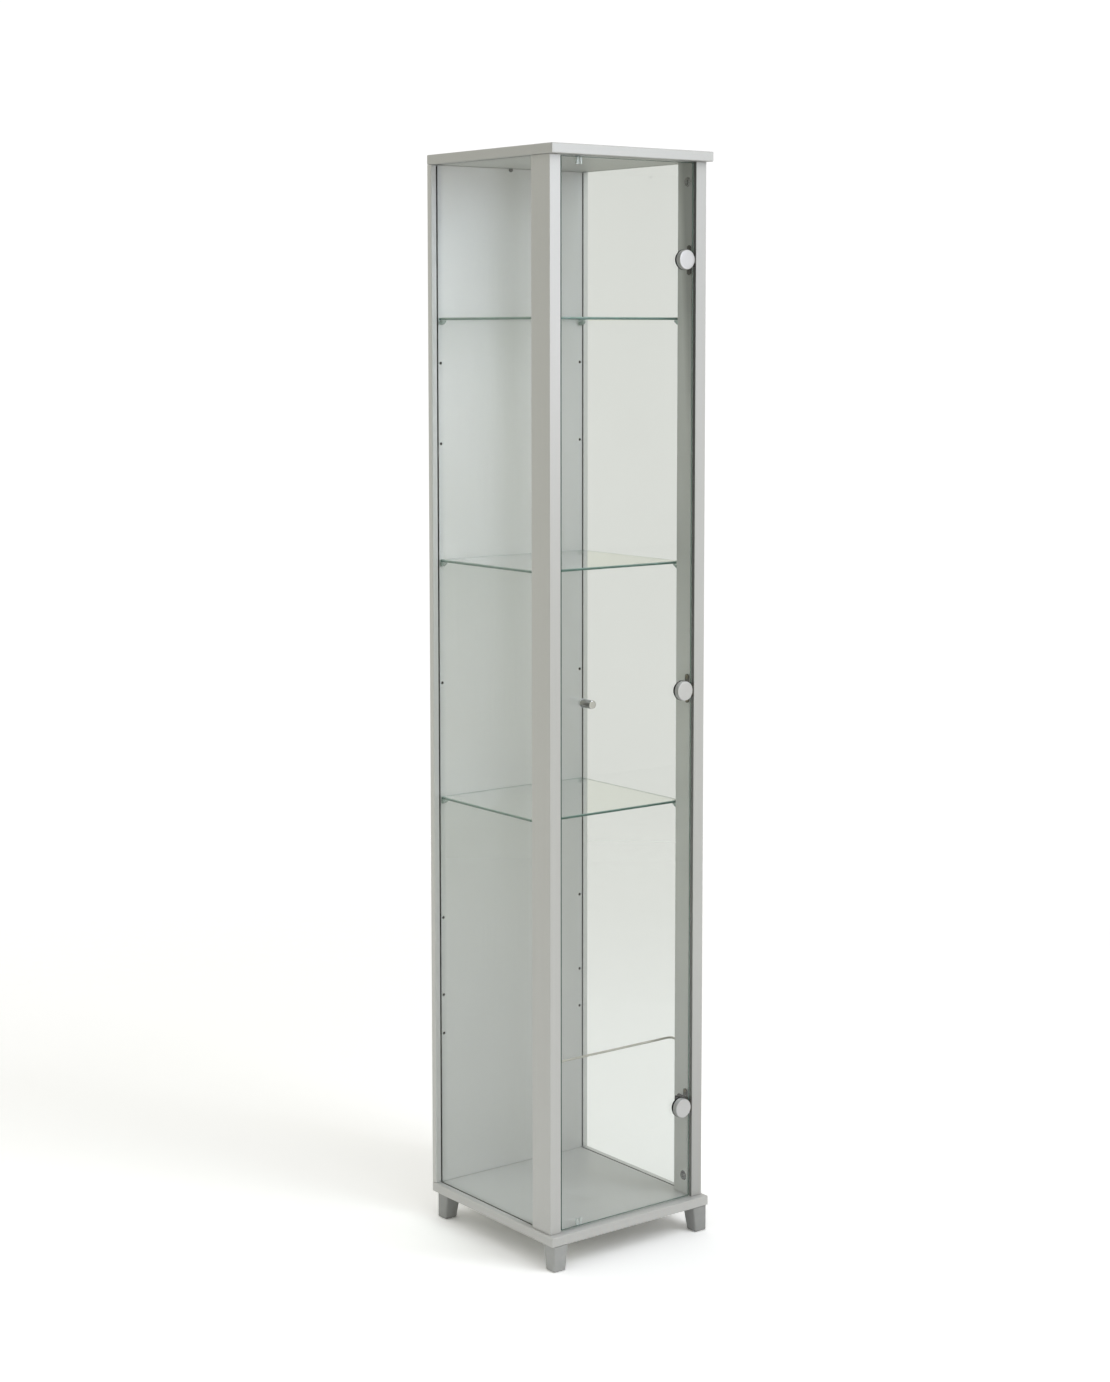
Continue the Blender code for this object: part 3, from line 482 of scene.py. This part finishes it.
CAP_T, ARM_HALF, KNUCKLE_R, BORE_R = 0.0085, 0.0047, 0.0019, 0.0011
for level in ("top", "middle", "bottom"):
    node = "hinge_%s_cap" % level
    lo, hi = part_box(node)
    radius = (hi[2] - lo[2]) / 2.0
    cx, cz, front = lo[0] + radius, (hi[2] + lo[2]) / 2.0, lo[1]
    back = front + CAP_T
    profile = [(0.0, front), (radius * 0.6, front)]
    profile += arc(radius - 0.0011, front + 0.0011, 0.0011, -90, 0)
    profile += [(radius, front + CAP_T / 2.0), (radius, back - 0.0003), (radius - 0.0003, back), (0.0050, back),
                (0.0050, hi[1] - 0.0004), (0.0046, hi[1]), (0.0, hi[1])]
    bm = bmesh.new()
    turned(bm, profile, "Y", 96, (cx, 0.0, cz))
    fit(solid("cap_disc_%s" % level, bm, CAPS[level]), "door", node)
    # dark arm that carries the middle knuckle
    knuckle_x, knuckle_y = hi[0] - KNUCKLE_R, back - 0.0018 + 0.0008
    bm = bmesh.new()
    block(bm, (cx + radius - 0.0008, back - 0.0023, cz - ARM_HALF), (knuckle_x, back - 0.0001, cz + ARM_HALF))
    arm = solid("cap_arm_%s" % level, bm, HINGE_NICKEL)
    bm = bmesh.new()
    turned(bm, [(0.0, -ARM_HALF), (KNUCKLE_R, -ARM_HALF), (KNUCKLE_R, ARM_HALF), (0.0, ARM_HALF)], "Z", 48,
           (knuckle_x, knuckle_y, cz))
    carve(arm, solid("tool", bm), "UNION")
    bm = bmesh.new()
    turned(bm, [(0.0, -0.01), (BORE_R, -0.01), (BORE_R, 0.01), (0.0, 0.01)], "Z", 32, (knuckle_x, knuckle_y, cz))
    carve(arm, solid("tool", bm))
    fit(arm, "door")
    # black seal between cap and glass
    node = "hinge_%s_grommet" % level
    lo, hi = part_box(node)
    flange, gx = (hi[2] - lo[2]) / 2.0, (lo[0] + hi[0]) / 2.0
    rear_r, hole_r, bore, lip = 0.0130, 0.0112, 0.0053, 0.0012
    bm = bmesh.new()
    ring = [(bore, lo[1])] + arc(flange - 0.0004, lo[1] + 0.0004, 0.0004, -90, 0, 3)
    ring += [(flange, lo[1] + lip), (hole_r, lo[1] + lip), (hole_r, hi[1] - lip), (rear_r, hi[1] - lip)]
    ring += arc(rear_r - 0.0004, hi[1] - 0.0004, 0.0004, 0, 90, 3) + [(bore, hi[1])]
    turned(bm, ring + [ring[0]], "Y", 72, (gx, 0.0, cz))
    bmesh.ops.remove_doubles(bm, verts=bm.verts[:], dist=1e-7)
    fit(solid("cap_seal_%s" % level, bm, BLACK), "door", node)
    # cross-head screws of the hinge plate
    for word in ("upper", "lower"):
        node = "hinge_%s_screw_%s" % (level, word)
        lo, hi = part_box(node)
        head, sy, sz = (hi[2] - lo[2]) / 2.0, (lo[1] + hi[1]) / 2.0, (lo[2] + hi[2]) / 2.0
        dome = [(head * math.sin(math.radians(a)), lo[0] + 0.0018 - 0.0018 * math.cos(math.radians(a)))
                for a in range(0, 91, 10)]
        bm = bmesh.new()
        turned(bm, [(0.0, lo[0])] + dome[1:] + [(0.0017, lo[0] + 0.0018), (0.0017, hi[0] - 0.0020),
                                               (0.0006, hi[0]), (0.0, hi[0])], "X", 48, (0.0, sy, sz))
        # the top hinge's screws take the painted-shade copy
        screw = solid("plate_screw_%s_%s" % (level, word), bm, SCREW_SHADED if level == "top" else SCREW)
        bm = bmesh.new()
        block(bm, (lo[0] - 0.001, sy - 0.0021, sz - 0.00035), (lo[0] + 0.0010, sy + 0.0021, sz + 0.00035))
        carve(screw, solid("tool", bm))
        bm = bmesh.new()
        block(bm, (lo[0] - 0.001, sy - 0.00035, sz - 0.0021), (lo[0] + 0.0010, sy + 0.00035, sz + 0.0021))
        carve(screw, solid("tool", bm))
        fit(screw, "cabinet", node)

# knob: slim turned pin with a softly broken front edge and a bored back for its screw
lo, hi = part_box("knob")
kr, kx, kz = (hi[2] - lo[2]) / 2.0, (lo[0] + hi[0]) / 2.0, (lo[2] + hi[2]) / 2.0
bm = bmesh.new()
profile = [(0.0, lo[1]), (kr * 0.5, lo[1])] + arc(kr - 0.0007, lo[1] + 0.0007, 0.0007, -90, 0)
profile += [(kr, (lo[1] + hi[1]) / 2.0), (kr, hi[1] - 0.0003), (kr - 0.0003, hi[1]), (0.0023, hi[1]),
            (0.0023, hi[1] - 0.0110), (0.0, hi[1] - 0.0110)]
turned(bm, profile, "Y", 96, (kx, 0.0, kz))
fit(solid("knob_turned", bm, CHROME), "door", "knob")


# ---------------------------------------------------------------- studio
def stage_plane():
    """White paper sweep: lit like paper near the showcase, running out into the white room further away."""
    bm = bmesh.new()
    bmesh.ops.create_circle(bm, cap_ends=True, segments=96, radius=4.0)
    mesh = bpy.data.meshes.new("studio_floor")
    bm.to_mesh(mesh)
    bm.free()
    floor = bpy.data.objects.new("studio_floor", mesh)
    SCENE.collection.objects.link(floor)
    t = Tree("studio_floor")
    paper = t.noise(t.coords((1, 1, 1)), 40.0, 3.0)
    shader = t.principled(Roughness=0.9)
    shader.inputs["Specular IOR Level"].default_value = 0.0
    t.link(t.mix(t.span(paper, 0.3, 0.7, 0.0, 1.0), (0.93, 0.93, 0.925), (0.94, 0.94, 0.935)),
           shader.inputs["Base Color"])
    # seen straight on the paper is brighter than the light it throws back, as in a graded studio shot
    seen = t.node("ShaderNodeBsdfDiffuse")
    path = t.node("ShaderNodeLightPath")
    grain = t.span(paper, 0.3, 0.7, 0.0, 1.0)
    t.link(t.mix(path.outputs["Is Camera Ray"], t.mix(grain, (1.07, 1.07, 1.055), (1.09, 1.09, 1.075)),
                 t.mix(grain, (1.26, 1.26, 1.25), (1.28, 1.28, 1.27))), seen.inputs["Color"])
    direct = t.maths("LESS_THAN", t.maths("ADD", path.outputs["Diffuse Depth"], path.outputs["Glossy Depth"]), 0.5)
    graded = t.node("ShaderNodeMixShader")
    t.link(direct, graded.inputs[0])
    t.link(shader.outputs["BSDF"], graded.inputs[1])
    t.link(seen.outputs["BSDF"], graded.inputs[2])
    reach = t.node("ShaderNodeVectorMath", operation="LENGTH")
    t.link(t.coords((1, 1, 1)), reach.inputs[0])
    clear = t.node("ShaderNodeBsdfTransparent")
    mixer = t.node("ShaderNodeMixShader")
    t.link(t.span(reach.outputs["Value"], 1.3, 3.6, 0.0, 1.0), mixer.inputs[0])
    t.link(graded.outputs["Shader"], mixer.inputs[1])
    t.link(clear.outputs["BSDF"], mixer.inputs[2])
    paint(floor, t.done(mixer.outputs["Shader"]))
    floor.location = (0, 0, -0.0004)


def soft_box(name, at, target, size, watts, colour=(1, 1, 1)):
    data = bpy.data.lights.new(name, "AREA")
    data.shape = "RECTANGLE"
    data.size, data.size_y = size
    data.energy = watts
    data.color = colour
    lamp = bpy.data.objects.new(name, data)
    SCENE.collection.objects.link(lamp)
    lamp.location = at
    lamp.visible_glossy = False
    lamp.rotation_euler = (Vector(target) - Vector(at)).to_track_quat("-Z", "Y").to_euler()
    return lamp


stage_plane()
world = bpy.data.worlds.new("studio")
SCENE.world = world
world.use_nodes = True
wn = world.node_tree
wn.nodes.clear()
# room light by direction: how bright, and which tint, the studio is towards the back, the front and above
ROOM = {"back": (1, 1, 1.305, (1.000, 0.993, 0.892)),
        "front": (1, -1, 0.859, (0.991, 1.000, 0.878)),
        "above": (2, 1, 0.835, (0.981, 0.974, 1.000))}
w_dir = wn.nodes.new("ShaderNodeTexCoord")
w_xyz = wn.nodes.new("ShaderNodeSeparateXYZ")
wn.links.new(w_dir.outputs["Generated"], w_xyz.inputs["Vector"])


def w_math(operation, a, b):
    n = wn.nodes.new("ShaderNodeMath")
    n.operation = operation
    for value, socket in ((a, n.inputs[0]), (b, n.inputs[1])):
        if isinstance(value, bpy.types.NodeSocket):
            wn.links.new(value, socket)
        else:
            socket.default_value = value
    return n


def w_background(name, colour, strength):
    n = wn.nodes.new("ShaderNodeBackground")
    n.name = name
    n.inputs["Color"].default_value = (*colour, 1.0)
    if isinstance(strength, bpy.types.NodeSocket):
        wn.links.new(strength, n.inputs["Strength"])
    else:
        n.inputs["Strength"].default_value = strength
    return n.outputs["Background"]


def w_mix(fac, a, b):
    n = wn.nodes.new("ShaderNodeMixShader")
    for value, socket in ((fac, n.inputs[0]), (a, n.inputs[1]), (b, n.inputs[2])):
        wn.links.new(value, socket)
    return n.outputs["Shader"]


room = None
for side, (axis, sign, strength, tint) in ROOM.items():
    toward = w_math("MAXIMUM", w_math("MULTIPLY", w_xyz.outputs[axis], float(sign)).outputs[0], 0.0)
    lobe = w_math("MULTIPLY", toward.outputs[0], toward.outputs[0])
    part = w_math("MULTIPLY", lobe.outputs[0], strength)
    part.name = "lobe_" + side
    shade = w_background("tint_" + side, tint, part.outputs[0])
    if room is None:
        room = shade
    else:
        add = wn.nodes.new("ShaderNodeAddShader")
        wn.links.new(room, add.inputs[0])
        wn.links.new(shade, add.inputs[1])
        room = add.outputs["Shader"]
w_path = wn.nodes.new("ShaderNodeLightPath")
bounced = w_math("ADD", w_path.outputs["Diffuse Depth"], w_path.outputs["Glossy Depth"])
direct = w_math("LESS_THAN", bounced.outputs[0], 0.5)
behind = w_background("seen_through", (1.000, 0.993, 0.966), 0.819)
backdrop = w_background("seen", (1, 1, 1), 1.04)
seen = w_mix(w_path.outputs["Is Camera Ray"], behind, backdrop)
w_out = wn.nodes.new("ShaderNodeOutputWorld")
wn.links.new(w_mix(direct.outputs[0], room, seen), w_out.inputs["Surface"])

soft_box("key_upper_right", (0.9, -1.9, 2.9), (0, 0, 1.45), (1.4, 1.4), 13.29, (0.98, 1.00, 0.86))
soft_box("key_high", (0.2, -1.5, 3.1), (0, 0, 1.45), (1.4, 1.4), 9.79, (0.79, 0.81, 1.00))
soft_box("fill_left_low", (-2.6, 0.4, 0.8), (0, 0, 0.7), (1.6, 1.2), 7.97, (0.96, 1.00, 0.85))
soft_box("strip_upper", (1.03, -1.9, 2.0), (-0.1, -0.1, 1.6), (0.3, 0.6), 2.39, (0.75, 0.86, 1.00)).visible_glossy = True
soft_box("strip_middle", (1.03, -1.9, 1.45), (-0.1, -0.1, 1.4), (0.3, 0.5), 3.44, (0.89, 0.85, 1.00)).visible_glossy = True
soft_box("strip_left", (0.55, -1.9, 2.05), (-0.1, -0.1, 1.5), (0.4, 0.6), 3.63, (0.74, 0.80, 1.00)).visible_glossy = True
